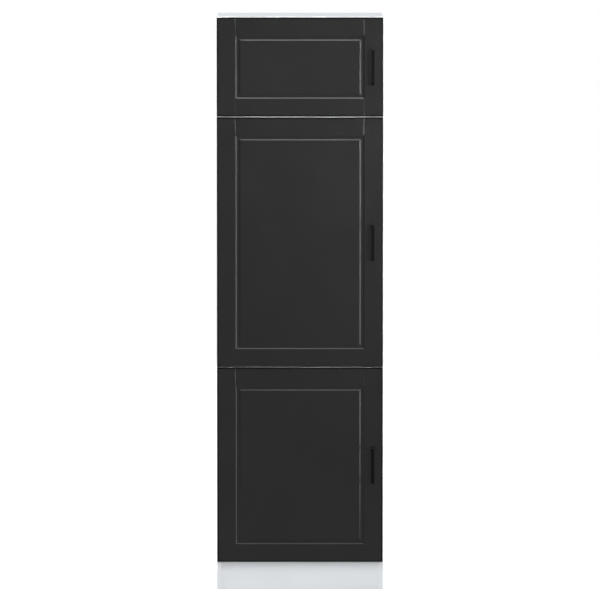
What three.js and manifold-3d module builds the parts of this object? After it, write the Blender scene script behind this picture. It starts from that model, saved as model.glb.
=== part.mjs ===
// Tall larder cabinet: a white board carcass on a plinth, with three panelled doors on concealed hinges.
// Millimetres. +X right, +Y back, +Z up. The doors face -Y. The origin is on the floor, at the middle of
// the bounding box.
import * as THREE from "three";
import { mergeVertices } from "three/addons/utils/BufferGeometryUtils.js";
import Module from "manifold-3d";

// ---- Driving dimensions -----------------------------------------------------------------------------

const cabinetWidth = 600;
const carcassDepth = 550; // from the side panels' front edges to the outer face of the back
const plinthHeight = 100;
const lowerDoorHeight = 704;
const middleDoorHeight = 899;
const upperDoorHeight = 355;

const boardThickness = 18;
const backThickness = 3;
const seam = 0.3; // between two boards that are screwed or nailed face to face
const backInset = 1; // the back panels stop this far inside the carcass outline
const shelfSetback = 20; // adjustable shelves, behind the carcass front
const shelfPlay = 1; // adjustable shelf, at each end
const plinthRecess = 2;

const doorThickness = 18;
const doorGap = 2; // between a closed door and the carcass front
const doorSpacing = 3; // between two doors, and above and below them
const doorSideReveal = 1.5;
const frameWidth = 65; // from the door's edge to the routed groove
const grooveWidth = 19;
const grooveDepth = 3.5;
const grooveChamfer = 3;

const handleLength = 130;
const handleHoleSpacing = 120;
const handleWidth = 10;
const handleBar = 8;
const handlePost = 10;
const handleProjection = 30;
const handleCornerRadius = 6;
const handleInset = 36; // from the door's opening edge to the handle's middle
const handleScrewRadius = 2;
const handleScrewHeadRadius = 4;
const handleScrewHead = 2.2;
const handleScrewReach = 8; // how far the screw goes into the handle's post
const screwPlay = 0.3;

const shelfPinRadius = 2.5;
const shelfPinHoleDepth = 11;
const shelfPinRowInset = 60; // from a shelf's front and back edges
const shelfPinPitch = 32;
const shelfPinHolesPerRow = 5;

const hingeInset = 100; // from a door's top and bottom edges to its hinges
const cupRadius = 17.2;
const cupDepth = 12;
const cupWall = 1.2;
const cupFloor = 1;
const cupPlay = 0.3;
const cupInset = 22.5; // from the door's hinge edge to the middle of the cup
const flangeThickness = 1.3;
const flangeLip = 1;
const flangeWingHeight = 62;
const flangeWingWidth = 12;
const flangeWingOffset = 6;
const linkWidth = 4;
const linkHalfThickness = 1.4;
const eyeRadius = 2.6;
const pinRadius = 1.2;
const pinPlay = 0.15;
const linkPlay = 0.3; // beside each link
const cheekThickness = 1.2;
const noseHalfWidth = 1.8; // of the bars that join the arm's eyes
const armWebThickness = 1.5;
const armStandOff = 9.5; // from the side panel to the underside of the arm's web
const armTail = 62; // how far the arm reaches behind the carcass front
const armNeck = 26; // where the arm's channel ends and its nose begins, behind the carcass front
const armCheekDrop = 6; // the channel's cheeks, from the underside of its web
const plateSetback = 37; // mounting plate screws, behind the carcass front
const plateThickness = 3;
const plateLength = 50;
const plateWingHeight = 48;
const plateWingWidth = 16;
const plateScrewSpacing = 32;
const plateScrewRadius = 2.6;
const plateCornerRadius = 3;

const bracketWidth = 40;
const bracketLeg = 40;
const bracketThickness = 2;
const bracketHoleRadius = 3;
const bracketInset = 110; // from the cabinet's outer side to the middle of the bracket

// The hinge's four pins with the door closed, from the side panel's outer face towards the door's
// opening edge, and forward from the carcass front.
const outerArmPin = [46.167, -19.956];
const outerCupPin = [12.164, 4.022];
const innerArmPin = [33.917, 6.586];
const innerCupPin = [15.842, 8.111];
const outerLinkBow = -11.2; // sideways rise of each link's centre line at its middle
const innerLinkBow = -3.664;

// Facets round a full circle.
const boreSides = 24;
const eyeSides = 12;
const pinSides = 8;
const cornerSegments = 3;

// ---- Levels and planes worked out from them ---------------------------------------------------------

const lowerDoorBottom = plinthHeight + doorSpacing;
const middleDoorBottom = lowerDoorBottom + lowerDoorHeight + doorSpacing;
const upperDoorBottom = middleDoorBottom + middleDoorHeight + doorSpacing;
const cabinetHeight = upperDoorBottom + upperDoorHeight + doorSpacing;

const overallDepth = carcassDepth + doorGap + doorThickness + handleProjection;
const doorFront = -overallDepth / 2 + handleProjection;
const doorBack = doorFront + doorThickness;
const carcassFront = doorBack + doorGap;
const backPlane = overallDepth / 2;
const boardBack = backPlane - backThickness - seam;
const sideInner = cabinetWidth / 2 - boardThickness;
const fixedBoardEnd = sideInner - seam;

const bottomPanelTop = plinthHeight + boardThickness;
const lowerShelfMiddle = middleDoorBottom - doorSpacing / 2;
const upperShelfMiddle = upperDoorBottom - doorSpacing / 2;
const topPanelUnderside = cabinetHeight - boardThickness;
const doorWidth = cabinetWidth - 2 * doorSideReveal;
const handleX = doorWidth / 2 - handleInset;

const doors = [
  { name: "lower_door", bottom: lowerDoorBottom, height: lowerDoorHeight },
  { name: "middle_door", bottom: middleDoorBottom, height: middleDoorHeight },
  { name: "upper_door", bottom: upperDoorBottom, height: upperDoorHeight },
];

// Evenly spaced undersides of a number of loose shelves between two levels.
function shelfUndersides(low, high, count) {
  const clear = (high - low - count * boardThickness) / (count + 1);
  return Array.from({ length: count }, (_, i) => low + clear + i * (clear + boardThickness));
}

const lowerBayTop = lowerShelfMiddle - boardThickness / 2;
const middleBayBottom = lowerShelfMiddle + boardThickness / 2;
const middleBayTop = upperShelfMiddle - boardThickness / 2;
const [lowerBayShelf] = shelfUndersides(bottomPanelTop, lowerBayTop, 1);
const [middleBayShelf, middleBayUpperShelf] = shelfUndersides(middleBayBottom, middleBayTop, 2);
const looseShelves = [
  { name: "lower_bay_shelf", underside: lowerBayShelf },
  { name: "middle_bay_lower_shelf", underside: middleBayShelf },
  { name: "middle_bay_upper_shelf", underside: middleBayUpperShelf },
];

// ---- Materials --------------------------------------------------------------------------------------

const whiteBoard = new THREE.MeshStandardMaterial({ color: 0xe8ebec, roughness: 0.5 });
const blackDoor = new THREE.MeshStandardMaterial({ color: 0x262627, roughness: 0.45 });
const blackMetal = new THREE.MeshStandardMaterial({ color: 0x0c0c0d, roughness: 0.4, metalness: 0.3 });
const nickel = new THREE.MeshStandardMaterial({ color: 0xb9b9b4, roughness: 0.3, metalness: 1 });
const hardboard = new THREE.MeshStandardMaterial({ color: 0x8a6a48, roughness: 0.8 });

// ---- Booleans ---------------------------------------------------------------------------------------

const wasm = await Module();
wasm.setup();

function solid(geometry) {
  const bare = geometry.clone();
  bare.deleteAttribute("normal");
  bare.deleteAttribute("uv");
  const merged = mergeVertices(bare, 1e-4);
  return new wasm.Manifold(
    new wasm.Mesh({
      numProp: 3,
      vertProperties: merged.attributes.position.array,
      triVerts: new Uint32Array(merged.index.array),
    }),
  );
}

function geometryOf(manifold) {
  const made = manifold.getMesh();
  const geometry = new THREE.BufferGeometry();
  geometry.setAttribute("position", new THREE.BufferAttribute(made.vertProperties, 3));
  geometry.setIndex(new THREE.BufferAttribute(made.triVerts, 1));
  geometry.computeVertexNormals();
  return geometry;
}

function join(first, ...others) {
  return others.reduce((whole, piece) => whole.add(piece), first);
}

function cut(first, ...others) {
  return others.reduce((whole, piece) => whole.subtract(piece), first);
}

// ---- Shapes -----------------------------------------------------------------------------------------

function block([x0, x1], [y0, y1], [z0, z1]) {
  const box = new THREE.BoxGeometry(x1 - x0, y1 - y0, z1 - z0);
  return box.translate((x0 + x1) / 2, (y0 + y1) / 2, (z0 + z1) / 2);
}

// A cylinder along an axis: its middle is at centre, and it runs from one value on that axis to another.
function rod(axis, radius, centre, [from, to], sides) {
  const cylinder = new THREE.CylinderGeometry(radius, radius, to - from, sides);
  const middle = (from + to) / 2;
  if (axis === "x") return solid(cylinder.rotateZ(Math.PI / 2).translate(middle, ...centre));
  if (axis === "y") return solid(cylinder.translate(centre[0], middle, centre[1]));
  return solid(cylinder.rotateX(Math.PI / 2).translate(...centre, middle));
}

function extrude(shape, depth) {
  return new THREE.ExtrudeGeometry(shape, { depth, bevelEnabled: false, curveSegments: cornerSegments });
}

// A rectangle with rounded corners about the origin.
function roundedRectangle(width, height, radius) {
  const [x, y] = [width / 2, height / 2];
  const shape = new THREE.Shape();
  shape.absarc(x - radius, y - radius, radius, 0, Math.PI / 2);
  shape.absarc(-x + radius, y - radius, radius, Math.PI / 2, Math.PI);
  shape.absarc(-x + radius, -y + radius, radius, Math.PI, 1.5 * Math.PI);
  shape.absarc(x - radius, -y + radius, radius, 1.5 * Math.PI, 2 * Math.PI);
  shape.closePath();
  return shape;
}

// A block that is one size in the plane of the door's face and another size at a depth behind it.
function taperedBlock(faceSize, depthSize, face, depth) {
  const box = new THREE.BoxGeometry(1, depth, 1).translate(0, face + depth / 2, 0);
  const position = box.getAttribute("position");
  for (let i = 0; i < position.count; i += 1) {
    const size = position.getY(i) > face + depth / 2 ? depthSize : faceSize;
    position.setX(i, Math.sign(position.getX(i)) * size[0] / 2);
    position.setZ(i, Math.sign(position.getZ(i)) * size[1] / 2);
  }
  return solid(box);
}

// ---- Carcass ----------------------------------------------------------------------------------------

const cabinet = new THREE.Group();

function addPiece(parent, name, geometry, material) {
  const mesh = new THREE.Mesh(geometry, material);
  mesh.name = name;
  parent.add(mesh);
  return mesh;
}

const pinHoleRise = ((shelfPinHolesPerRow - 1) / 2) * shelfPinPitch;

function addSidePanel(name, side) {
  const faces = side < 0 ? [-cabinetWidth / 2, -sideInner] : [sideInner, cabinetWidth / 2];
  const mouth = side * (sideInner - seam);
  const bottom = side * (sideInner + shelfPinHoleDepth);
  const along = [Math.min(mouth, bottom), Math.max(mouth, bottom)];
  const rows = [carcassFront + shelfSetback + shelfPinRowInset, boardBack - shelfPinRowInset];
  const holes = looseShelves.flatMap(({ underside }) =>
    rows.flatMap((y) =>
      Array.from({ length: shelfPinHolesPerRow }, (_, i) => {
        const z = underside - shelfPinRadius - pinHoleRise + i * shelfPinPitch;
        return rod("x", shelfPinRadius, [y, z], along, pinSides);
      }),
    ),
  );
  const board = solid(block(faces, [carcassFront, boardBack], [0, cabinetHeight]));
  addPiece(cabinet, name, geometryOf(cut(board, ...holes)), whiteBoard);
}

function addBoard(name, halfWidth, depth, height, material = whiteBoard) {
  addPiece(cabinet, name, block([-halfWidth, halfWidth], depth, height), material);
}

addSidePanel("left_side_panel", -1);
addSidePanel("right_side_panel", 1);

const fullDepth = [carcassFront, boardBack];
const halfBoard = boardThickness / 2;
addBoard("bottom_panel", fixedBoardEnd, fullDepth, [plinthHeight, bottomPanelTop]);
addBoard("lower_fixed_shelf", fixedBoardEnd, fullDepth, [lowerBayTop, lowerShelfMiddle + halfBoard]);
addBoard("upper_fixed_shelf", fixedBoardEnd, fullDepth, [middleBayTop, upperShelfMiddle + halfBoard]);
addBoard("top_panel", fixedBoardEnd, fullDepth, [topPanelUnderside, cabinetHeight]);

const looseDepth = [carcassFront + shelfSetback, boardBack - shelfPlay];
for (const { name, underside } of looseShelves) {
  addBoard(name, sideInner - shelfPlay, looseDepth, [underside, underside + boardThickness]);
}

const plinthFront = carcassFront + plinthRecess;
const plinthLevels = [0, plinthHeight - seam];
addBoard("plinth_board", fixedBoardEnd, [plinthFront, plinthFront + boardThickness], plinthLevels);
addBoard("rear_plinth_rail", fixedBoardEnd, [boardBack - boardThickness, boardBack], plinthLevels);

const backEnd = cabinetWidth / 2 - backInset;
const backDepth = [backPlane - backThickness, backPlane];
const backLevels = [plinthHeight + backInset, lowerShelfMiddle, upperShelfMiddle, cabinetHeight - backInset];
["lower_back_panel", "middle_back_panel", "upper_back_panel"].forEach((name, i) => {
  const low = backLevels[i] + (i > 0 ? seam / 2 : 0);
  const high = backLevels[i + 1] - (i < 2 ? seam / 2 : 0);
  addBoard(name, backEnd, backDepth, [low, high], hardboard);
});

// ---- Brackets that tie the cabinet to a wall --------------------------------------------------------

function addWallBracket(name, x) {
  const ends = [x - bracketWidth / 2, x + bracketWidth / 2];
  const rear = boardBack;
  const top = topPanelUnderside - seam;
  const upright = solid(block(ends, [rear - bracketThickness, rear], [top - bracketLeg, top]));
  const flat = solid(block(ends, [rear - bracketLeg, rear], [top - bracketThickness, top]));
  const holes = [-1, 1].flatMap((side) => {
    const across = x + (side * bracketWidth) / 4;
    const middle = bracketLeg / 2 + bracketThickness;
    return [
      rod("y", bracketHoleRadius, [across, top - middle], [rear - bracketLeg, rear + seam], eyeSides),
      rod("z", bracketHoleRadius, [across, rear - middle], [top - bracketLeg, top + seam], eyeSides),
    ];
  });
  addPiece(cabinet, name, geometryOf(cut(join(upright, flat), ...holes)), nickel);
}

addWallBracket("left_wall_bracket", -cabinetWidth / 2 + bracketInset);
addWallBracket("right_wall_bracket", cabinetWidth / 2 - bracketInset);

// ---- Doors ------------------------------------------------------------------------------------------

// The groove round a door's raised field, routed into its front face, in the door's own frame.
function panelGroove(height) {
  const inset = (distance) => [doorWidth - 2 * distance, height - 2 * distance];
  const proud = seam; // the cutter starts this far in front of the face
  const slope = grooveChamfer / grooveDepth;
  const depth = grooveDepth + proud;
  const outer = frameWidth - slope * proud;
  const inner = frameWidth + grooveWidth + slope * proud;
  const pocket = taperedBlock(
    inset(outer), inset(frameWidth + grooveChamfer), -proud, depth,
  );
  const field = taperedBlock(
    inset(inner), inset(frameWidth + grooveWidth - grooveChamfer), -proud, depth,
  );
  return pocket.subtract(field);
}

const hingeLevels = (height) => [-height / 2 + hingeInset, height / 2 - hingeInset];
const handleHoleLevels = [-handleHoleSpacing / 2, handleHoleSpacing / 2];

// A door's own frame: x from its middle, y back from its front face, z from its middle.
function addDoor(parent, name, height) {
  const half = doorWidth / 2;
  const slab = solid(block([-half, half], [0, doorThickness], [-height / 2, height / 2]));
  const cupBores = hingeLevels(height).map((z) => {
    const floor = doorThickness - cupDepth - cupPlay;
    return rod("y", cupRadius + cupPlay, [cupInset - half, z], [floor, doorThickness + seam], boreSides);
  });
  const handleHoles = handleHoleLevels.map((z) => {
    const through = [-seam, doorThickness + seam];
    return rod("y", handleScrewRadius + screwPlay, [handleX, z], through, pinSides);
  });
  const shape = cut(slab, panelGroove(height), ...cupBores, ...handleHoles);
  addPiece(parent, name, geometryOf(shape), blackDoor);
}

// The handle stands on the door's face: a bar on two posts, with rounded outer corners.
function addHandle(parent, name) {
  const shape = roundedRectangle(2 * handleProjection, handleLength, handleCornerRadius);
  const bow = extrude(shape, handleWidth).translate(0, 0, -handleWidth / 2);
  const across = [-handleWidth, handleWidth];
  const inFront = block([-2 * handleProjection, -seam], [-handleLength, handleLength], across);
  const gap = block(
    [-handleProjection + handleBar, handleProjection],
    [handlePost - handleLength / 2, handleLength / 2 - handlePost],
    across,
  );
  const upright = new THREE.Matrix4().makeBasis(
    new THREE.Vector3(0, 1, 0), new THREE.Vector3(0, 0, 1), new THREE.Vector3(1, 0, 0),
  );
  const profile = solid(bow).intersect(solid(inFront)).subtract(solid(gap));
  const standing = solid(geometryOf(profile).applyMatrix4(upright).translate(handleX, 0, 0));
  const holes = handleHoleLevels.map((z) => {
    const tip = -handleScrewReach - screwPlay;
    return rod("y", handleScrewRadius + screwPlay, [handleX, z], [tip, 0], pinSides);
  });
  addPiece(parent, name, geometryOf(cut(standing, ...holes)), blackMetal);
}

// A pan-head screw from inside the door into a post of the handle.
function addHandleScrew(parent, name, z) {
  const headFace = doorThickness + screwPlay;
  const shankLevels = [-handleScrewReach, headFace + seam];
  const headLevels = [headFace, headFace + handleScrewHead];
  const shank = rod("y", handleScrewRadius, [handleX, z], shankLevels, pinSides);
  const head = rod("y", handleScrewHeadRadius, [handleX, z], headLevels, eyeSides);
  addPiece(parent, name, geometryOf(join(shank, head)), nickel);
}

// ---- Concealed hinges -------------------------------------------------------------------------------

// A hinge's own frame: x from the side panel's outer face, y back from the carcass front, z from the
// hinge's level. The outer link lies above z = 0 and the inner link below it.
const inHinge = ([across, forward]) => new THREE.Vector2(across, -forward);
const linkLevels = { outer: [linkPlay, linkPlay + linkWidth], inner: [-linkPlay - linkWidth, -linkPlay] };
const cheekInner = linkPlay + linkWidth + linkPlay;
const cheekOuter = cheekInner + cheekThickness;
const cupMiddle = doorSideReveal + cupInset;

// A bowed link with an eye at each end, bored for the pins that it turns on.
function linkShape(fromPin, toPin, bow, [low, high], pins) {
  const from = inHinge(fromPin);
  const to = inHinge(toPin);
  const along = to.clone().sub(from).normalize();
  const peak = from.clone().add(to).multiplyScalar(0.5);
  peak.add(new THREE.Vector2(along.y, -along.x).multiplyScalar(2 * bow));
  const line = new THREE.QuadraticBezierCurve(from, peak, to);
  const edge = (t, side) => {
    const tangent = line.getTangent(t);
    const normal = new THREE.Vector2(-tangent.y, tangent.x);
    return line.getPoint(t).addScaledVector(normal, side * linkHalfThickness);
  };
  const steps = Array.from({ length: 9 }, (_, i) => i / 8);
  const outline = [...steps.map((t) => edge(t, -1)), ...steps.reverse().map((t) => edge(t, 1))];
  const strap = solid(extrude(new THREE.Shape(outline), high - low).translate(0, 0, low));
  const eyes = [from, to].map((pin) => rod("z", eyeRadius, [pin.x, pin.y], [low, high], eyeSides));
  const bores = pins.map(inHinge).map((pin) => {
    return rod("z", pinRadius + pinPlay, [pin.x, pin.y], [low - linkPlay, high + linkPlay], pinSides);
  });
  return geometryOf(cut(join(strap, ...eyes), ...bores));
}

// The cup that is pressed into the door, with its flange and the links' pins. The inner link's pin stops
// beside the link, which swings with a little slack there.
function cupShape() {
  const face = -doorGap; // the door's inner face
  const bowl = [
    [0, face - cupDepth],
    [cupRadius, face - cupDepth],
    [cupRadius, face + flangeThickness],
    [cupRadius - cupWall, face + flangeThickness],
    [cupRadius - cupWall, face - cupDepth + cupFloor],
    [0, face - cupDepth + cupFloor],
  ];
  const points = bowl.map(([r, y]) => new THREE.Vector2(r, y));
  const lathe = new THREE.LatheGeometry(points, boreSides).translate(cupMiddle, 0, 0);
  const flangeFace = [face + screwPlay, face + flangeThickness];
  const disc = rod("y", cupRadius + flangeLip, [cupMiddle, 0], flangeFace, boreSides);
  const wing = extrude(
    roundedRectangle(flangeWingWidth, flangeWingHeight, flangeWingWidth / 2 - seam),
    flangeFace[1] - flangeFace[0],
  ).rotateX(Math.PI / 2).translate(cupMiddle + flangeWingOffset, flangeFace[1], 0);
  const mouth = rod("y", cupRadius - cupWall, [cupMiddle, 0], [face - seam, 0], boreSides);
  const reach = ([across]) => {
    const inside = cupRadius - cupWall;
    return Math.sqrt(inside * inside - (across - cupMiddle) ** 2) + cupWall / 2;
  };
  const outerPin = inHinge(outerCupPin);
  const innerPin = inHinge(innerCupPin);
  const stubs = [
    rod("z", pinRadius, [outerPin.x, outerPin.y], [linkPlay / 2, reach(outerCupPin)], pinSides),
    rod("z", pinRadius, [innerPin.x, innerPin.y], [-reach(innerCupPin), -cheekInner], pinSides),
  ];
  const flange = cut(join(disc, solid(wing)), mouth);
  return geometryOf(join(solid(lathe), flange, ...stubs));
}

// The arm: a channel over the mounting plate, with a nose of two cheeks that hold the links' fixed pins.
function armShape() {
  const web = boardThickness + armStandOff;
  const top = web + armWebThickness;
  const outerPin = inHinge(outerArmPin);
  const innerPin = inHinge(innerArmPin);
  const bar = (a, b, [low, high]) => {
    const length = a.distanceTo(b);
    const strip = block([0, length], [-noseHalfWidth, noseHalfWidth], [low, high]);
    strip.rotateZ(Math.atan2(b.y - a.y, b.x - a.x)).translate(a.x, a.y, 0);
    const ends = [a, b].map((end) => rod("z", eyeRadius, [end.x, end.y], [low, high], eyeSides));
    return join(solid(strip), ...ends);
  };
  const shoulder = new THREE.Vector2(top - eyeRadius, armNeck);
  const sides = [[cheekInner, cheekOuter], [-cheekOuter, -cheekInner]];
  const cheeks = sides.flatMap((levels) => [
    bar(outerPin, innerPin, levels),
    bar(shoulder, outerPin, levels),
    solid(block([web - armCheekDrop, top], [armNeck, armTail], levels)),
  ]);
  const channel = solid(block([web, top], [armNeck, armTail], [-cheekOuter, cheekOuter]));
  const stubs = [
    rod("z", pinRadius, [outerPin.x, outerPin.y], [linkPlay / 2, cheekOuter], pinSides),
    rod("z", pinRadius, [innerPin.x, innerPin.y], [-cheekOuter, -linkPlay / 2], pinSides),
  ];
  return geometryOf(join(channel, ...cheeks, ...stubs));
}

// The cross-shaped plate on the side panel: a base with two wings, and a rail that the arm clips over.
function mountingPlateShape() {
  const base = boardThickness + seam;
  const railTop = boardThickness + armStandOff - seam;
  const flat = (depth, height, low, high) => {
    const slab = extrude(roundedRectangle(depth, height, plateCornerRadius), high - low);
    slab.rotateY(Math.PI / 2).rotateX(Math.PI / 2);
    return solid(slab.translate(low, plateSetback, 0));
  };
  const railHeight = 2 * (cheekInner - linkPlay);
  const rail = flat(plateLength, railHeight, base, railTop);
  const wings = flat(plateWingWidth, plateWingHeight, base, base + plateThickness);
  const holes = [-plateScrewSpacing / 2, plateScrewSpacing / 2].map((z) => {
    const through = [base - seam, base + plateThickness + seam];
    return rod("x", plateScrewRadius, [plateSetback, z], through, pinSides);
  });
  return geometryOf(cut(join(rail, wings), ...holes));
}

const cupGeometry = cupShape();
const outerLinkGeometry = linkShape(
  outerArmPin, outerCupPin, outerLinkBow, linkLevels.outer, [outerArmPin, outerCupPin],
);
const innerLinkGeometry = linkShape(
  innerArmPin, innerCupPin, innerLinkBow, linkLevels.inner, [innerArmPin],
);
const armGeometry = armShape();
const plateGeometry = mountingPlateShape();

function addHinge(name, z) {
  const hinge = new THREE.Group();
  hinge.position.set(-cabinetWidth / 2, carcassFront, z);
  addPiece(hinge, name + "_cup", cupGeometry, nickel);
  addPiece(hinge, name + "_outer_link", outerLinkGeometry, nickel);
  addPiece(hinge, name + "_inner_link", innerLinkGeometry, nickel);
  addPiece(hinge, name + "_arm", armGeometry, nickel);
  addPiece(hinge, name + "_mounting_plate", plateGeometry, nickel);
  cabinet.add(hinge);
}

for (const { name, bottom, height } of doors) {
  const middle = bottom + height / 2;
  const leaf = new THREE.Group();
  leaf.position.set(0, doorFront, middle);
  addDoor(leaf, name, height);
  addHandle(leaf, name + "_handle");
  addHandleScrew(leaf, name + "_handle_lower_screw", handleHoleLevels[0]);
  addHandleScrew(leaf, name + "_handle_upper_screw", handleHoleLevels[1]);
  cabinet.add(leaf);
  const [low, high] = hingeLevels(height);
  addHinge(name + "_lower_hinge", middle + low);
  addHinge(name + "_upper_hinge", middle + high);
}

export default cabinet;
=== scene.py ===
# %% [markdown]
# # A tall larder cabinet with three panelled doors
# The cabinet is a white board carcass on a plinth, closed by three black routed doors with slim black
# handles. The measured model is loaded first, as a fixed frame, and every visible piece is built around
# it in metres, so a piece goes where the frame says and rides on the body that carries it.

from math import asin, pi

import bmesh
import bpy
import numpy as np
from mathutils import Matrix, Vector


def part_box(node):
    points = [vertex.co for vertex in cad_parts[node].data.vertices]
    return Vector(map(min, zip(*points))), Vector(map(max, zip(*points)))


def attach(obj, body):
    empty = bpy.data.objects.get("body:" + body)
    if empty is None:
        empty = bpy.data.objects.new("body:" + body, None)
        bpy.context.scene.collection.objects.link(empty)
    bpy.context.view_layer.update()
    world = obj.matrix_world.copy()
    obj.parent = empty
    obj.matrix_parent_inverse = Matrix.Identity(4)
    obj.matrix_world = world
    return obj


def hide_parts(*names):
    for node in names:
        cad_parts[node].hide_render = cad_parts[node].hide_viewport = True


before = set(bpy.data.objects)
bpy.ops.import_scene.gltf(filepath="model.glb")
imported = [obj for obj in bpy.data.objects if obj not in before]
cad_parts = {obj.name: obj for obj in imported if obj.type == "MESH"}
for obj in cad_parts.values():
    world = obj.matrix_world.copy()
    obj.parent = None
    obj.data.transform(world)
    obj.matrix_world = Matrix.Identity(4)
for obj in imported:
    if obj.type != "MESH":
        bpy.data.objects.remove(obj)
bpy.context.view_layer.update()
MM = 0.001

# %% [markdown]
# ## The camera
# A cabinet two metres high looks right when its uprights stay upright. An architect's camera does that
# by shifting its lens. A long lens from far away comes close to it with no shift at all, and stays useful
# for every other view, so the camera stands twenty metres off, a little above the top panel, and looks
# slightly down at the middle of the doors.

# %% The camera
CAMERA_DISTANCE = 20.0
CAMERA_HEIGHT = 2.6
AIM_HEIGHT = 1.052
PICTURE_HEIGHT = 2.159  # what the picture takes in at the doors' faces
SENSOR = 36.0

scene = bpy.context.scene
faces_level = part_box("lower_door")[0].y
camera_data = bpy.data.cameras.new("camera")
camera_data.sensor_width = SENSOR
camera = bpy.data.objects.new("camera", camera_data)
scene.collection.objects.link(camera)
camera.location = (0.0, faces_level - CAMERA_DISTANCE, CAMERA_HEIGHT)
line_of_sight = Vector((0.0, faces_level, AIM_HEIGHT)) - camera.location
camera.rotation_euler = line_of_sight.to_track_quat("-Z", "Y").to_euler()
camera_data.lens = SENSOR * line_of_sight.length / PICTURE_HEIGHT
camera_data.clip_end = 100.0
scene.camera = camera
print("lens", round(camera_data.lens), "mm")

# %% [markdown]
# ## The studio
# The room is white all round. What the camera sees directly is plain white, but what lights the cabinet
# is a dim gradient with soft boxes in it. A black door shows little but its reflections. So bright cards
# stand in front, to the right and above, and the slopes of a routed groove mirror them: each slope then
# reads as a light or a dark line. The cards are mirrored but light nothing, or the white side and top
# would burn out. The left and the fill light do the opposite: they light the boards and are not mirrored.
# The fill light stands near the height of the upper gap between the doors, and shines through it onto the
# white shelf behind.

# %% The studio
LIGHT_FROM = Vector((0.70, -0.20, 0.68)).normalized()
AMBIENT_LOW, AMBIENT_HIGH = 0.28, 0.95
GRADIENT_START = -0.15  # the cosine to LIGHT_FROM up to which the room stays at its darkest

scene.view_settings.view_transform = "Standard"
world = bpy.data.worlds.new("studio")
scene.world = world
world.use_nodes = True
nodes, links = world.node_tree.nodes, world.node_tree.links
nodes.clear()
direction = nodes.new("ShaderNodeTexCoord")
towards = nodes.new("ShaderNodeVectorMath")
towards.operation = "DOT_PRODUCT"
towards.inputs[1].default_value = LIGHT_FROM
fading = nodes.new("ShaderNodeMapRange")
fading.interpolation_type = "SMOOTHSTEP"
fading.inputs["From Min"].default_value = GRADIENT_START
fading.inputs["To Min"].default_value = AMBIENT_LOW
fading.inputs["To Max"].default_value = AMBIENT_HIGH
lighting = nodes.new("ShaderNodeBackground")
backdrop = nodes.new("ShaderNodeBackground")
path = nodes.new("ShaderNodeLightPath")
chosen = nodes.new("ShaderNodeMixShader")
output = nodes.new("ShaderNodeOutputWorld")
links.new(direction.outputs["Generated"], towards.inputs[0])
links.new(towards.outputs["Value"], fading.inputs["Value"])
links.new(fading.outputs["Result"], lighting.inputs["Strength"])
lighting.inputs["Color"].default_value = (1.0, 1.0, 1.0, 1.0)
backdrop.inputs["Color"].default_value = (1.0, 1.0, 1.0, 1.0)
links.new(path.outputs["Is Camera Ray"], chosen.inputs["Fac"])
links.new(lighting.outputs["Background"], chosen.inputs[1])
links.new(backdrop.outputs["Background"], chosen.inputs[2])
links.new(chosen.outputs["Shader"], output.inputs["Surface"])


def soft_box(name, place, width, height, power, aim_height=1.1, spread=pi, lights=True, mirrored=True):
    """An area light at a place, turned towards the cabinet at a height. A small spread narrows its beam.
    One that lights reaches dull surfaces, and one that is mirrored shows in shiny ones."""
    light = bpy.data.lights.new(name, "AREA")
    light.shape = "RECTANGLE"
    light.size = width
    light.size_y = height
    light.energy = power
    light.spread = spread
    lamp = bpy.data.objects.new(name, light)
    scene.collection.objects.link(lamp)
    lamp.visible_diffuse = lights
    lamp.visible_glossy = mirrored
    lamp.location = place
    beam = Vector((0.0, 0.0, aim_height)) - Vector(place)
    lamp.rotation_euler = beam.to_track_quat("-Z", "Y").to_euler()


soft_box("front_card", (3.4, -5.2, 1.74), 1.6, 0.2, 11.0, aim_height=1.74, spread=0.6, lights=False)
soft_box("left_light", (-2.0, -2.2, 2.8), 1.4, 1.8, 50.0, aim_height=0.4, mirrored=False)
soft_box("fill_light", (0.9, -5.3, 1.6), 0.6, 0.6, 12.0, aim_height=1.6, spread=0.7, mirrored=False)
soft_box("side_light", (3.2, 0.15, 1.1), 1.2, 1.8, 12.0)
soft_box("side_card", (2.4, -0.75, 1.15), 1.0, 2.3, 40.0, lights=False)
soft_box("top_light", (0.1, -0.1, 8.0), 3.0, 3.0, 110.0)
soft_box("top_card", (0.1, -1.1, 8.0), 3.0, 3.0, 440.0, lights=False)
print("studio: gradient", AMBIENT_LOW, "to", AMBIENT_HIGH, "and", len(bpy.data.lights), "soft boxes")

# %% [markdown]
# ## Shader groups
# Boards, foil, powder coat and plating differ in colour, but share three effects: a fine grain of little
# cells, faint marks where hands and cloths have passed, and dust on what faces up. Each effect is a node
# group with named inputs, built once and placed in every finish with its own values.


# %% Shader groups
def start_group(name, inputs, outputs):
    """A shader group with float sockets, and its two ends."""
    group = bpy.data.node_groups.new(name, "ShaderNodeTree")
    for title, value in inputs.items():
        socket = group.interface.new_socket(title, in_out="INPUT", socket_type="NodeSocketFloat")
        socket.default_value = value
    for title in outputs:
        group.interface.new_socket(title, in_out="OUTPUT", socket_type="NodeSocketFloat")
    start, end = group.nodes.new("NodeGroupInput"), group.nodes.new("NodeGroupOutput")
    return group, start, end


def math_node(tree, operation, first, second):
    """A Math node whose inputs are numbers or sockets."""
    node = tree.nodes.new("ShaderNodeMath")
    node.operation = operation
    for socket, value in zip(node.inputs, (first, second)):
        if isinstance(value, bpy.types.NodeSocket):
            tree.links.new(value, socket)
        else:
            socket.default_value = value
    return node.outputs[0]


def stepped(tree, value, low, high):
    """A smooth step from 0 at low to 1 at high."""
    node = tree.nodes.new("ShaderNodeMapRange")
    node.interpolation_type = "SMOOTHSTEP"
    tree.links.new(value, node.inputs["Value"])
    node.inputs["From Min"].default_value = low
    node.inputs["From Max"].default_value = high
    return node.outputs["Result"]


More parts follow.
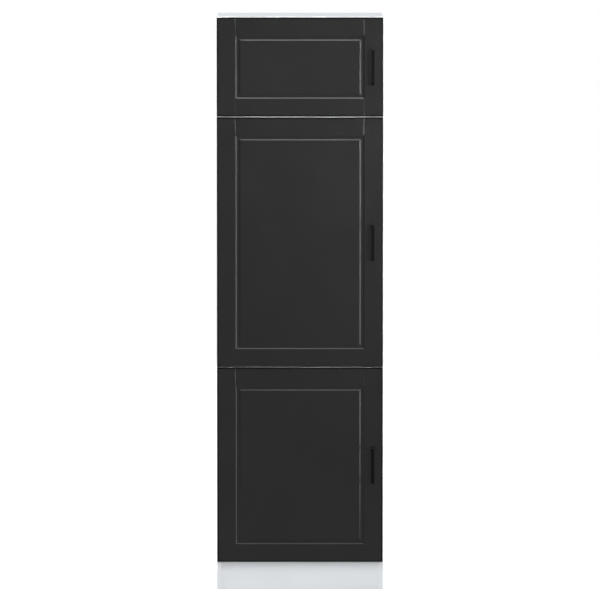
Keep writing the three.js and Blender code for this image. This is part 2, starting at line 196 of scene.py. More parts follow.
def noise(tree, vector, scale, detail=3.0):
    """A Noise Texture; its scale is a number or a socket."""
    node = tree.nodes.new("ShaderNodeTexNoise")
    node.inputs["Detail"].default_value = detail
    tree.links.new(vector, node.inputs["Vector"])
    if isinstance(scale, bpy.types.NodeSocket):
        tree.links.new(scale, node.inputs["Scale"])
    else:
        node.inputs["Scale"].default_value = scale
    return node.outputs[0]


def grain_group():
    """Height: small cells with soft noise between them. Mottle: a slow change of tone."""
    group, start, end = start_group("grain", {"Scale": 900.0, "Mottle Scale": 3.0}, ["Height", "Mottle"])
    place = group.nodes.new("ShaderNodeTexCoord").outputs["Object"]
    cells = group.nodes.new("ShaderNodeTexVoronoi")
    cells.feature = "SMOOTH_F1"
    group.links.new(place, cells.inputs["Vector"])
    group.links.new(start.outputs["Scale"], cells.inputs["Scale"])
    fine = noise(group, place, math_node(group, "MULTIPLY", start.outputs["Scale"], 0.45))
    height = math_node(group, "ADD", math_node(group, "MULTIPLY", cells.outputs["Distance"], 0.6), fine)
    group.links.new(height, end.inputs["Height"])
    group.links.new(noise(group, place, start.outputs["Mottle Scale"], 4.0), end.inputs["Mottle"])
    return group


def marks_group():
    """Mask: patches a hand wide, broken up by a finer noise."""
    group, start, end = start_group("handling_marks", {"Scale": 7.0}, ["Mask"])
    place = group.nodes.new("ShaderNodeTexCoord").outputs["Object"]
    patches = stepped(group, noise(group, place, start.outputs["Scale"], 5.0), 0.48, 0.68)
    broken = stepped(group, noise(group, place, 85.0, 6.0), 0.35, 0.7)
    group.links.new(math_node(group, "MULTIPLY", patches, broken), end.inputs["Mask"])
    return group


def dust_group():
    """Mask: where the surface faces up, times a patchy noise."""
    group, start, end = start_group("settled_dust", {"Amount": 0.3}, ["Mask"])
    coordinates = group.nodes.new("ShaderNodeTexCoord")
    parts = group.nodes.new("ShaderNodeSeparateXYZ")
    group.links.new(coordinates.outputs["Normal"], parts.inputs[0])
    upwards = stepped(group, parts.outputs["Z"], 0.35, 0.95)
    patchy = stepped(group, noise(group, coordinates.outputs["Object"], 14.0, 6.0), 0.2, 0.8)
    lying = math_node(group, "MULTIPLY", upwards, patchy)
    group.links.new(math_node(group, "MULTIPLY", lying, start.outputs["Amount"]), end.inputs["Mask"])
    return group


GRAIN, MARKS, DUST = grain_group(), marks_group(), dust_group()
print("groups:", [group.name for group in (GRAIN, MARKS, DUST)])

# %% [markdown]
# ## Finishes
# Every finish is one recipe: a colour that drifts between two close tones, dust mixed over it, a
# roughness that changes with the handling marks, and a bump from the grain. What is the same all over a
# surface, such as metalness or the specular level, is set on the shader's own socket.


# %% Finishes
DUST_COLOUR = (0.45, 0.43, 0.40)
MOTTLE = 3.5  # patches of tone to a metre


def place_group(tree, group, **values):
    """A node of a group, with its inputs set by name."""
    node = tree.nodes.new("ShaderNodeGroup")
    node.node_tree = group
    for title, value in values.items():
        node.inputs[title.replace("_", " ")].default_value = value
    return node


def mixed(tree, factor, first, second):
    """A colour between two others; each is a tuple or a socket."""
    node = tree.nodes.new("ShaderNodeMix")
    node.data_type = "RGBA"
    tree.links.new(factor, node.inputs["Factor"])
    for socket, value in ((node.inputs[6], first), (node.inputs[7], second)):
        if isinstance(value, bpy.types.NodeSocket):
            tree.links.new(value, socket)
        else:
            socket.default_value = (*value, 1.0)
    return node.outputs[2]


def finish(name, tones, roughness, grain, bump, dust, metallic=0.0, specular=0.5, marks=7.0):
    """A finish from two tones, the roughness where clean and where handled, the grain's cells to a metre,
    the bump's strength and height, and how dusty it is where it faces up."""
    material = bpy.data.materials.new(name)
    material.use_nodes = True
    tree = material.node_tree
    shader = tree.nodes["Principled BSDF"]
    shader.inputs["Metallic"].default_value = metallic
    shader.inputs["Specular IOR Level"].default_value = specular
    grains = place_group(tree, GRAIN, Scale=grain, Mottle_Scale=MOTTLE)
    handled = place_group(tree, MARKS, Scale=marks)
    dusty = place_group(tree, DUST, Amount=dust)
    tone = stepped(tree, grains.outputs["Mottle"], 0.3, 0.7)
    colour = mixed(tree, tone, *tones)
    colour = mixed(tree, dusty.outputs["Mask"], colour, DUST_COLOUR)
    tree.links.new(colour, shader.inputs["Base Color"])
    change = math_node(tree, "MULTIPLY", handled.outputs["Mask"], roughness[1] - roughness[0])
    matter = math_node(tree, "ADD", change, roughness[0])
    tree.links.new(math_node(tree, "ADD", matter, dusty.outputs["Mask"]), shader.inputs["Roughness"])
    relief = tree.nodes.new("ShaderNodeBump")
    relief.inputs["Strength"].default_value = bump[0]
    relief.inputs["Distance"].default_value = bump[1]
    tree.links.new(grains.outputs["Height"], relief.inputs["Height"])
    tree.links.new(relief.outputs["Normal"], shader.inputs["Normal"])
    return material


white_board = finish(
    "white_melamine", [(0.775, 0.806, 0.834), (0.795, 0.826, 0.852)], (0.42, 0.52), 850.0,
    (0.25, 0.00012), 0.12,
)
edge_band = finish(
    "white_edge_band", [(0.80, 0.825, 0.845), (0.815, 0.84, 0.86)], (0.34, 0.42), 1400.0,
    (0.12, 0.00008), 0.1,
)
white_plastic = finish(
    "white_plastic", [(0.78, 0.79, 0.79), (0.81, 0.82, 0.82)], (0.38, 0.5), 1800.0, (0.1, 0.00005), 0.1,
)
white_lacquer = finish(
    "white_lacquer", [(0.74, 0.76, 0.76), (0.79, 0.81, 0.81)], (0.45, 0.55), 600.0, (0.3, 0.00015), 0.05,
)
powder_coat = finish(
    "black_powder_coat", [(0.0009, 0.0009, 0.0009), (0.0014, 0.0014, 0.0014)], (0.46, 0.54), 2600.0,
    (0.35, 0.00008), 0.01, specular=0.09, marks=22.0,
)
nickel = finish(
    "nickel_plating", [(0.60, 0.59, 0.56), (0.68, 0.665, 0.63)], (0.24, 0.38), 500.0, (0.12, 0.00006), 0.05,
    metallic=1.0, marks=30.0,
)
bumper_gel = finish(
    "milky_bumper", [(0.62, 0.64, 0.64), (0.7, 0.72, 0.72)], (0.2, 0.35), 700.0, (0.1, 0.00005), 0.05,
)
print("finishes:", len(bpy.data.materials))

# %% [markdown]
# ## The doors' foil
# A routed door is wrapped in one sheet of satin foil. Pulled over the door's edges it is stretched and
# turns dull, so it mirrors less of the room and looks darker; here the rim is also made to mirror almost
# nothing, a painted shade that draws a dark line round each door. Two finishes say that: the satin foil
# for the face and the groove, and a dull, nearly unreflective one for the faces of the mesh that lie on the
# door's rim.

# %% The doors' foil
black_foil = finish(
    "black_satin_foil", [(0.0034, 0.0034, 0.0034), (0.0044, 0.0044, 0.0044)], (0.31, 0.37), 1100.0,
    (0.12, 0.0001), 0.02, specular=0.42, marks=5.0,
)
# The rim's foil has almost no specular reflection, so the door's edges render as a dark line: painted shade
# on top of the real dulling of stretched foil.
rim_foil_dull_and_painted_shade = finish(
    "black_stretched_foil", [(0.0035, 0.0035, 0.0035), (0.0045, 0.0045, 0.0045)], (0.5, 0.6), 1100.0,
    (0.12, 0.0001), 0.01, specular=0.02, marks=5.0,
)
print("foils:", black_foil.name, "and", rim_foil_dull_and_painted_shade.name)

# %% [markdown]
# ## The hardboard's brown side
# Hardboard is pressed wood fibre: brown, with light and dark flecks and long pale fibres, and rough to
# the touch. Noise stretched along the panel's height gives the fibres, and a threshold on a fine noise
# gives the flecks. Only the side that faces the room is lacquered white.

# %% The hardboard's brown side
PALE_FIBRE = (0.33, 0.225, 0.138)
DARK_FLECK = (0.11, 0.062, 0.032)
brown_hardboard = finish(
    "brown_hardboard", [(0.222, 0.139, 0.077), (0.252, 0.160, 0.091)], (0.7, 0.85), 1500.0,
    (0.5, 0.0003), 0.1, specular=0.3,
)
tree = brown_hardboard.node_tree
shader = tree.nodes["Principled BSDF"]
board_place = tree.nodes.new("ShaderNodeTexCoord")
stretch = tree.nodes.new("ShaderNodeMapping")
stretch.inputs["Scale"].default_value = (1.0, 1.0, 0.22)
tree.links.new(board_place.outputs["Object"], stretch.inputs["Vector"])
fibres = stepped(tree, noise(tree, stretch.outputs["Vector"], 520.0, 6.0), 0.50, 0.76)
flecks = stepped(tree, noise(tree, board_place.outputs["Object"], 900.0, 2.0), 0.60, 0.72)
colour = shader.inputs["Base Color"].links[0].from_socket
colour = mixed(tree, fibres, colour, PALE_FIBRE)
colour = mixed(tree, flecks, colour, DARK_FLECK)
tree.links.new(colour, shader.inputs["Base Color"])
print("hardboard: fibres and flecks")

# %% [markdown]
# ## The floor
# A plain pale floor, large enough for every view. It is a single flat sheet, and it isn't part of the
# cabinet.

# %% The floor
FLOOR_REACH = 9.0
FLOOR_GLOW = 0.75  # lifts the floor to the backdrop's white where it is seen, and lights nothing
floor_mesh = bpy.data.meshes.new("floor")
corners = FLOOR_REACH * np.array([[-1, -1, 0], [1, -1, 0], [1, 1, 0], [-1, 1, 0]])
floor_mesh.from_pydata(corners.tolist(), [], [(0, 1, 2, 3)])
floor = bpy.data.objects.new("floor", floor_mesh)
scene.collection.objects.link(floor)
floor_paint = bpy.data.materials.new("floor_paint")
floor_paint.use_nodes = True
paint = floor_paint.node_tree.nodes["Principled BSDF"]
paint.inputs["Base Color"].default_value = (0.6, 0.6, 0.6, 1.0)
paint.inputs["Roughness"].default_value = 0.9
paint.inputs["Specular IOR Level"].default_value = 0.1
paint.inputs["Emission Color"].default_value = (1.0, 1.0, 1.0, 1.0)
seen = floor_paint.node_tree.nodes.new("ShaderNodeLightPath")
glow = math_node(floor_paint.node_tree, "MULTIPLY", seen.outputs["Is Camera Ray"], FLOOR_GLOW)
floor_paint.node_tree.links.new(glow, paint.inputs["Emission Strength"])
floor_mesh.materials.append(floor_paint)
print("floor:", 2 * FLOOR_REACH, "m square")

# %% [markdown]
# ## From rings to a closed mesh
# Nearly everything here can be described as a stack of closed rings: a screw's rings are circles, a
# door's are rectangles, a handle's are cross-sections. So one function joins rings with quads and closes
# the two ends, one welds points that fall together, and one makes the mesh and puts it on its body.


# %% From rings to a closed mesh
def stacked(rings):
    """Points of all rings in a row. Point j of ring i makes a quad with point j + 1 and with the same two
    of ring i + 1, and the first and the last ring are each closed by one face."""
    count, columns = rings.shape[:2]
    here = np.arange(columns)
    after = (here + 1) % columns
    row = columns * np.arange(count - 1)[:, None]
    quads = np.stack([row + here, row + after, row + columns + after, row + columns + here], axis=-1)
    caps = [here[::-1].tolist(), (here + columns * (count - 1)).tolist()]
    return rings.reshape(-1, 3), quads.reshape(-1, 4).tolist() + caps


def welded(shape):
    """Points that round to the same tenth of a micrometre become one, and faces lose repeated corners."""
    points, faces = shape
    _, kept, index = np.unique(np.round(points, 7), axis=0, return_index=True, return_inverse=True)
    index = index.ravel()
    faces = [list(dict.fromkeys(index[face].tolist())) for face in faces]
    return points[kept], [face for face in faces if len(face) > 2]


def mesh_of(name, shape):
    """A mesh with welded points and faces that point outwards."""
    points, faces = welded(shape)
    mesh = bpy.data.meshes.new(name)
    mesh.from_pydata(points.tolist(), [], faces)
    work = bmesh.new()
    work.from_mesh(mesh)
    bmesh.ops.recalc_face_normals(work, faces=work.faces)
    work.to_mesh(mesh)
    work.free()
    return mesh


FLAT_AREA = 12 * MM * MM  # a face this large that looks straight along an axis is shaded flat


def shade(mesh):
    """Large faces square to an axis stay flat, and all others, which are the roundings, are smooth."""
    count = len(mesh.polygons)
    normals, areas = np.empty(3 * count), np.empty(count)
    mesh.polygons.foreach_get("normal", normals)
    mesh.polygons.foreach_get("area", areas)
    square = np.abs(normals.reshape(-1, 3)).max(axis=1) > 0.9999
    mesh.polygons.foreach_set("use_smooth", ~(square & (areas > FLAT_AREA)))


def add_piece(name, shape, body, material, stands_for=()):
    """A finished piece on its body. It takes the place of the frame's nodes that it stands for."""
    mesh = mesh_of(name, shape)
    mesh.materials.append(material)
    shade(mesh)
    piece = bpy.data.objects.new(name, mesh)
    scene.collection.objects.link(piece)
    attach(piece, body)
    if stands_for:
        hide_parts(*stands_for)
    return piece


def combined(*shapes):
    """Several closed shapes as one, side by side."""
    starts = np.cumsum([0] + [len(points) for points, _ in shapes])
    faces = [[int(i + start) for i in face] for (_, fs), start in zip(shapes, starts) for face in fs]
    return np.concatenate([points for points, _ in shapes]), faces


# %% [markdown]
# ## Drilling and joining
# Holes in a board are easiest to think of as drilling: make a rod, take it away. Blender's Boolean
# modifier does that. It is applied at once, so the result is again just points and faces, and no cutter
# stays in the scene.


# %% Drilling and joining
def carved(shape, joined=(), taken=()):
    """A shape after others are joined to it and others are taken from it."""
    loose = []
    for part in (shape, *joined, *taken):
        loose.append(bpy.data.objects.new("loose", mesh_of("loose", part)))
        scene.collection.objects.link(loose[-1])
    operations = ["UNION"] * len(joined) + ["DIFFERENCE"] * len(taken)
    for other, operation in zip(loose[1:], operations):
        modifier = loose[0].modifiers.new(operation, "BOOLEAN")
        modifier.operation = operation
        modifier.object = other
        modifier.solver = "EXACT"
    bpy.context.view_layer.update()
    made = loose[0].evaluated_get(bpy.context.evaluated_depsgraph_get()).to_mesh()
    points = np.empty(3 * len(made.vertices))
    made.vertices.foreach_get("co", points)
    faces = [list(polygon.vertices) for polygon in made.polygons]
    for part in loose:
        bpy.data.objects.remove(part)
    return points.reshape(-1, 3), faces


# %% [markdown]
# ## Boards, turned parts and soft corners
# A real board has no razor edge: the saw and the edge band leave it rounded by a few tenths of a
# millimetre, and that is where it catches light. Screws, pins and caps are turned parts. Their profiles
# are lines whose corners are softened by a short curve.


# %% Boards, turned parts and soft corners
def board(low, high, radius, steps=2):
    """A box with rounded edges: each point is a corner of the box shrunk by the radius, plus the radius
    times a unit normal. The normals run over the sphere, one quarter turn for each corner."""
    low, high = np.array(low), np.array(high)
    quarter = np.linspace(0.0, pi / 2, steps + 1)
    turn = (quarter + pi / 2 * np.arange(4)[:, None]).ravel()
    rise = np.concatenate([quarter - pi / 2, quarter])
    turn_side = (np.arange(4)[:, None] + np.zeros_like(quarter) + 0.5).ravel() * pi / 2
    rise_side = np.sign(np.concatenate([-np.ones_like(quarter), np.ones_like(quarter)]))
    rise, turn = np.meshgrid(rise, turn, indexing="ij")
    rise_side, turn_side = np.meshgrid(rise_side, turn_side, indexing="ij")
    normal = np.stack([np.cos(rise) * np.cos(turn), np.cos(rise) * np.sin(turn), np.sin(rise)], axis=-1)
    corner = np.stack([np.sign(np.cos(turn_side)), np.sign(np.sin(turn_side)), rise_side], axis=-1)
    return stacked((low + high) / 2 + corner * ((high - low) / 2 - radius) + radius * normal)


def softened(corners, eases, steps=4):
    """A line through corners, each replaced by a quadratic curve that starts and ends its ease away."""
    corners = np.array(corners, float)
    pieces = [corners[:1]]
    share = np.linspace(0.0, 1.0, steps)[:, None]
    for before, corner, after, ease in zip(corners, corners[1:], corners[2:], eases):
        start = corner + ease * (before - corner) / np.linalg.norm(before - corner)
        end = corner + ease * (after - corner) / np.linalg.norm(after - corner)
        pieces.append((1 - share) ** 2 * start + 2 * share * (1 - share) * corner + share**2 * end)
    return np.concatenate([*pieces, corners[-1:]])


def turned(profile, sides=32):
    """A profile of (height, radius) pairs turned about the Z axis."""
    angle = np.linspace(0.0, 2 * pi, sides, endpoint=False)
    height, radius = np.array(profile).T[..., None]
    circle = np.stack([np.cos(angle), np.sin(angle)], axis=-1)
    rings = np.concatenate([radius[..., None] * circle, np.broadcast_to(
        height[..., None], (len(height), sides, 1))], axis=-1)
    return stacked(rings)


def facing(shape, place, axis):
    """A shape made along Z, moved to a place and turned so that its Z lies along an axis of the frame."""
    points, faces = shape
    axis = np.array(axis, float)
    basis = np.stack([np.roll(axis, 1), np.roll(axis, 2), axis])
    return points @ basis + np.array(place), faces


def rod(radius, length, ease, sides=32):
    """A round rod that stands on the origin, with softened rims."""
    corners = [(0.0, 0.0), (0.0, radius), (length, radius), (length, 0.0)]
    return turned(softened(corners, [ease, ease], steps=3), sides)


print("sample board:", len(welded(board((0, 0, 0), (1, 1, 1), 0.1))[1]), "faces")

# %% [markdown]
# ## Side panels
# The two side panels are boards from floor to top. Their inner faces have rows of blind holes for the
# shelf pins, five to a row, so a shelf can be moved up or down by a hand's breadth. The front edge is a
# strip of edge band, glued on, which is a piece of its own.

# %% Side panels
EDGE_BAND = 1.0 * MM
BOARD_ROUNDING = 0.45 * MM
PIN_RADIUS = 2.5 * MM
PIN_HOLE_DEPTH = 11 * MM
PIN_ROW_INSET = 60 * MM  # from a loose shelf's front and back edges
PIN_PITCH = 32 * MM
LOOSE_SHELVES = ["lower_bay_shelf", "middle_bay_lower_shelf", "middle_bay_upper_shelf"]


def pin_places(shelf):
    """Where the four pins under a loose shelf meet the side panels: side, depth and level."""
    low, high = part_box(shelf)
    level = low.z - PIN_RADIUS
    rows = (low.y + PIN_ROW_INSET, high.y + MM - PIN_ROW_INSET)
    return [(side, y, level) for side in (-1, 1) for y in rows]


def add_board(node, banded=True, bores=()):
    """A board in a node's place, with an edge band at its front where it has one."""
    low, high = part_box(node)
    front = low.y + (EDGE_BAND if banded else 0.0)
    shape = board((low.x, front, low.z), high, BOARD_ROUNDING)
    if bores:
        shape = carved(shape, taken=[combined(*bores)])
    add_piece(node + "_board", shape, "carcass", white_board, [node])
    if banded:
        band = board(low, (high.x, front, high.z), BOARD_ROUNDING)
        add_piece(node + "_edge_band", band, "carcass", edge_band)


inner_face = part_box("right_side_panel")[0].x
drill = rod(PIN_RADIUS, PIN_HOLE_DEPTH + MM, 0.1 * MM, sides=20)
for node, side in (("left_side_panel", -1), ("right_side_panel", 1)):
    bores = [
        facing(drill, (side * (inner_face - MM), y, z + step * PIN_PITCH), (side, 0, 0))
        for shelf in LOOSE_SHELVES
        for pin_side, y, z in pin_places(shelf)
        for step in range(-2, 3)
        if pin_side == side
    ]
    add_board(node, bores=bores)
    print(node, "with", len(bores), "pin holes")

# %% [markdown]
# ## The other boards
# Bottom, top and the two fixed shelves tie the sides together behind the gaps between the doors. The
# loose shelves stand back from the doors. The plinth board and the rail behind it carry the bottom
# panel, and have no edge band.

# %% The other boards
FIXED_BOARDS = ["bottom_panel", "lower_fixed_shelf", "upper_fixed_shelf", "top_panel"]
for node in FIXED_BOARDS + LOOSE_SHELVES:
    add_board(node)
for node in ("plinth_board", "rear_plinth_rail"):
    add_board(node, banded=False)
print("boards:", 2 + len(FIXED_BOARDS + LOOSE_SHELVES) + 2)

# %% [markdown]
# ## The back
# Three hardboard panels are nailed on from behind. A hammer sinks each nail's head just below the
# surface, so every nail sits in a shallow dimple. The side of a panel that looks into the cabinet is
# lacquered white, so its faces get the second material.

# %% The back
PANEL_ROUNDING = 0.8 * MM
NAIL_HEAD = 2.6 * MM
NAIL_LENGTH = 20 * MM
DIMPLE_DEPTH = 0.5 * MM
NAIL_SPACING = 95 * MM
NAIL_FROM_END = 25 * MM
NAIL_SINK = 0.1 * MM
NAIL_INSET = 9 * MM  # over the middle of a side panel
SHELF_NAIL_INSET = 4.5 * MM  # two panels share the edge of one fixed shelf


def nail_places(low, high):
    """Rows along all four edges of a panel, at an even spacing."""
    count = 1 + round((high.z - low.z) / NAIL_SPACING)
    upright = np.linspace(low.z + NAIL_FROM_END, high.z - NAIL_FROM_END, count)
    across = np.linspace(low.x, high.x, 7)[1:-1]
    sides = [(x, z) for x in (low.x + NAIL_INSET, high.x - NAIL_INSET) for z in upright]
    ends = [(x, z) for z in (low.z + SHELF_NAIL_INSET, high.z - SHELF_NAIL_INSET) for x in across]
    return sides + ends


dimple = rod(NAIL_HEAD + 0.4 * MM, 2 * DIMPLE_DEPTH, 0.1 * MM, sides=12)
nail = turned(softened(
    [(-NAIL_LENGTH, 0.0), (-NAIL_LENGTH + 2 * MM, 0.8 * MM), (-0.8 * MM, 0.8 * MM), (-0.5 * MM, NAIL_HEAD),
     (0.0, NAIL_HEAD), (0.0, 0.0)],
    [0.1 * MM, 0.1 * MM, 0.1 * MM, 0.1 * MM], steps=2), sides=10)
for level in ("lower", "middle", "upper"):
    node = level + "_back_panel"
    low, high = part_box(node)
    places = nail_places(low, high)
    dimples = [facing(dimple, (x, high.y - DIMPLE_DEPTH, z), (0, 1, 0)) for x, z in places]
    shape = carved(board(low, high, PANEL_ROUNDING), taken=[combined(*dimples)])
    panel = add_piece(node + "_board", shape, "carcass", brown_hardboard, [node])
    panel.data.materials.append(white_lacquer)
    looks_in = [polygon.normal.y < -0.9 for polygon in panel.data.polygons]
    panel.data.polygons.foreach_set("material_index", np.array(looks_in, int))
    heads = [facing(nail, (x, high.y - NAIL_SINK, z), (0, 1, 0)) for x, z in places]
    add_piece(level + "_back_nails", combined(*heads), "carcass", nickel)
    print(node, "with", len(places), "nails")

# %% [markdown]
# ## Doors
# A door is one slab of fibreboard, so its whole front is one surface. It can be made by carrying a
# profile round a rectangle: out of the back, round the edge, across the frame, down into the groove and
# up again to the raised field. Every station of the profile gives one ring. The fine joint lines that
# make the slab look framed are V-shaped cuts across the top and bottom rails, in line with the groove's
# outer edge, so each ring also has points on those lines. The bores for the hinge cups and the handle's
# screws are drilled last.

# %% Doors
RIM = 4.6 * MM
SHADED_RIM_WIDTH = 0.9 * RIM  # how far in from the door's outline the foil is dull and nearly unreflective: a painted shaded rim
BACK_RIM = 0.8 * MM
FRAME_WIDTH = 65 * MM
STILE_EXTRA = 2 * MM  # the uprights of the frame are a little wider than its rails
GROOVE_WIDTH = 17 * MM
GROOVE_DEPTH = 3.1 * MM
GROOVE_CHAMFER = 3.8 * MM
GROOVE_CORNER = 2.4 * MM
EDGE_CORNER = 1.2 * MM
LINE_HALF_WIDTH = 2 * MM
LINE_DEPTH = 1.6 * MM
INSIDE_STRIP = 4 * MM  # how far the first and the last station lie from their rounded corner
EASE_STEPS = 5


def door_profile(thickness):
    """Stations as (inset from the door's edge, depth behind its face), from the back to the field."""
    inner = FRAME_WIDTH + GROOVE_WIDTH
    corners = [
        (INSIDE_STRIP, thickness), (0.0, thickness), (0.0, 0.0), (FRAME_WIDTH, 0.0),
        (FRAME_WIDTH + GROOVE_CHAMFER, GROOVE_DEPTH), (inner - GROOVE_CHAMFER, GROOVE_DEPTH),
        (inner, 0.0), (inner + INSIDE_STRIP, 0.0),
    ]
    eases = [BACK_RIM, RIM, 0.5 * MM, 0.9 * MM, 0.9 * MM, 0.5 * MM]
    stations = softened(corners, eases, steps=EASE_STEPS)
    frame_ends = [(RIM + MM, 0.0), (FRAME_WIDTH - 1.8 * MM, 0.0)]
    rim_end = 1 + 2 * EASE_STEPS
    return np.insert(stations, rim_end, frame_ends, axis=0)


def door_shape(low, high):
    """Ring of a station: a rectangle with rounded corners. Its half height is the door's less the inset.
    Its half width is less by the inset and by the stile's extra times inset / frame width, up to 1. Each
    joint line adds three points to its top and bottom, which stop at the ring's own corners, and the
    middle one of them lies deeper."""
    centre, half = (high + low) / 2, (high - low) / 2
    inset, depth = door_profile(high.y - low.y).T[..., None]
    corner = np.where(inset < FRAME_WIDTH - MM, EDGE_CORNER, GROOVE_CORNER)
    across = half.x - inset - STILE_EXTRA * np.clip(inset / FRAME_WIDTH, 0, 1)
    up = half.z - inset
    quarter = np.linspace(0.0, pi / 2, 5)

    def rounded(x_side, z_side, angle):
        x = x_side * (across - corner) + corner * np.cos(angle)
        return x, z_side * (up - corner) + corner * np.sin(angle)

    line = half.x - FRAME_WIDTH - STILE_EXTRA
    marks = np.array([line + LINE_HALF_WIDTH, line, line - LINE_HALF_WIDTH])
    marks = np.concatenate([marks, -marks[::-1]])
    marks_x = np.clip(marks, corner - across, across - corner)
    sunk = (np.abs(marks) == line) & (line <= across - corner) & (depth < GROOVE_DEPTH)
    parts = [rounded(1, 1, quarter), (marks_x, up + 0 * marks), rounded(-1, 1, quarter + pi / 2),
             rounded(-1, -1, quarter + pi), (marks_x[:, ::-1], 0 * marks - up),
             rounded(1, -1, quarter + 3 * pi / 2)]
    x = np.concatenate([part[0] for part in parts], axis=1)
    z = np.concatenate([part[1] for part in parts], axis=1)
    y = np.zeros_like(x) + depth
    top_marks = slice(5, 11)
    bottom_marks = slice(21, 27)
    y[:, top_marks] += LINE_DEPTH * sunk
    y[:, bottom_marks] += LINE_DEPTH * sunk[:, ::-1]
    return stacked(np.stack([centre.x + x, low.y + y, centre.z + z], axis=-1))


def wrap_rim(mesh, low, high):
    """Faces whose middle lies nearer to the door's outline than the rim's width get the dull second foil, a
    painted shade.
    """
    centres = np.empty(3 * len(mesh.polygons))
    mesh.polygons.foreach_get("center", centres)
    x, _, z = centres.reshape(-1, 3).T
    inset = np.minimum(np.minimum(x - low.x, high.x - x), np.minimum(z - low.z, high.z - z))
    mesh.materials.append(rim_foil_dull_and_painted_shade)
    mesh.polygons.foreach_set("material_index", (inset < SHADED_RIM_WIDTH).astype(int))


CUP_PLAY = 0.3 * MM
SCREW_PLAY = 0.3 * MM
HANDLE_SCREW_RADIUS = 2 * MM
CUP_RADIUS = 17.2 * MM
CUP_DEPTH = 12 * MM
FLANGE_LIP = 1 * MM
DOORS = ["lower_door", "middle_door", "upper_door"]
for door in DOORS:
    low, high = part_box(door)
    cup_bore = rod(CUP_RADIUS + CUP_PLAY, CUP_DEPTH + CUP_PLAY + MM, 0.05 * MM, sides=64)
    screw_bore = rod(HANDLE_SCREW_RADIUS + SCREW_PLAY, high.y - low.y + 2 * MM, 0.05 * MM, sides=24)
    bores = []
    for end in ("lower", "upper"):
        cup_low, cup_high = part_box(f"{door}_{end}_hinge_cup")
        cup_level = (cup_low.z + cup_high.z) / 2
        cup_x = cup_low.x + CUP_RADIUS + FLANGE_LIP
        bores.append(facing(cup_bore, (cup_x, high.y + MM, cup_level), (0, -1, 0)))
        screw_low, screw_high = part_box(f"{door}_handle_{end}_screw")
        middle = (screw_low + screw_high) / 2
        bores.append(facing(screw_bore, (middle.x, high.y + MM, middle.z), (0, -1, 0)))
    shape = carved(door_shape(low, high), taken=[combined(*bores)])
    piece = add_piece(door + "_panel", shape, door, black_foil, [door])
    wrap_rim(piece.data, low, high)
    print(door, "has", len(piece.data.polygons), "faces")

# %% [markdown]
# ## Handles
# A handle is a slim bar on two posts, bent from one piece. Its outer corners are wide curves and its
# inner ones tight, so the outer and the inner outline are two lines that are run through together, and
# between them stands a cross-section with soft edges.

# %% Handles
HANDLE_BAR = 8 * MM
HANDLE_POST = 10 * MM
OUTER_BEND = 6 * MM
INNER_BEND = 2.5 * MM
HANDLE_EDGE = 1.3 * MM
HANDLE_SCREW_REACH = 8 * MM


def handle_shape(low, high):
    """At each step along the two outlines, a rounded rectangle spans from the inner to the outer one."""
    bend = np.linspace(0.0, pi / 2, 7)

    def outline(inset, front, radius):
        y = np.concatenate([[high.y], front + radius - radius * np.sin(bend)])
        z = np.concatenate([[low.z + inset], low.z + inset + radius - radius * np.cos(bend)])
        return np.stack([np.r_[y, y[::-1]], np.r_[z, low.z + high.z - z[::-1]]], axis=-1)

    outer = outline(0.0, low.y, OUTER_BEND)
    inner = outline(HANDLE_POST, low.y + HANDLE_BAR, INNER_BEND)
    middle, span = (outer + inner) / 2, outer - inner
    thickness = np.linalg.norm(span, axis=1, keepdims=True)
    out = span / thickness
    width = (high.x - low.x) / 2
    quarter = np.linspace(0.0, pi / 2, 4)
    angle = (quarter + pi / 2 * np.arange(4)[:, None]).ravel()
    side = pi / 4 + pi / 2 * np.repeat(np.arange(4), 4)
    across = np.sign(np.cos(side)) * (width - HANDLE_EDGE) + HANDLE_EDGE * np.cos(angle)
    through = np.sign(np.sin(side)) * (thickness / 2 - HANDLE_EDGE) + HANDLE_EDGE * np.sin(angle)
    x = (low.x + high.x) / 2 + np.zeros_like(through) + across
    y = middle[:, :1] + out[:, :1] * through
    z = middle[:, 1:] + out[:, 1:] * through
    return stacked(np.stack([x, y, z], axis=-1))


for door in DOORS:
    low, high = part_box(door + "_handle")
    depth = HANDLE_SCREW_REACH + SCREW_PLAY
    bore = rod(HANDLE_SCREW_RADIUS + SCREW_PLAY, depth + MM, 0.05 * MM, sides=24)
    bores = []
    for end in ("lower", "upper"):
        screw_low, screw_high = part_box(f"{door}_handle_{end}_screw")
        middle = (screw_low + screw_high) / 2
        bores.append(facing(bore, (middle.x, high.y + MM, middle.z), (0, -1, 0)))
    shape = carved(handle_shape(low, high), taken=[combined(*bores)])
    add_piece(door + "_bar_handle", shape, door, powder_coat, [door + "_handle"])
    print(door, "handle", round((high.z - low.z) / MM), "mm long")

# %% [markdown]
# ## Screws
# All screws are one pattern in several sizes: a shank, a low domed head, and a cross recess that is
# carved once and then copied with the head. A copy costs nothing to compute, since it is the same points
# moved to a new place.


# %% Screws
def screw_shape(head_radius, head_height, shank_radius, length):
    """A pan-head screw along Z, whose head's underside is at zero."""
    corners = [
        (-length, 0.0), (-length + shank_radius, shank_radius), (0.0, shank_radius), (0.0, head_radius),
        (0.55 * head_height, head_radius), (head_height, 0.45 * head_radius), (head_height, 0.0),
    ]
    eases = [0.1 * MM, 0.05 * MM, 0.05 * MM, 0.25 * head_height, 0.3 * head_height]
    plain = turned(softened(corners, eases, steps=3), sides=28)
    long, short = 0.55 * head_radius, 0.11 * head_radius
    floor_level, above = 0.35 * head_height, head_height + MM
    arms = [board((-x, -y, floor_level), (x, y, above), 0.05 * MM, steps=1)
            for x, y in ((long, short), (short, long))]
    return carved(plain, taken=arms)


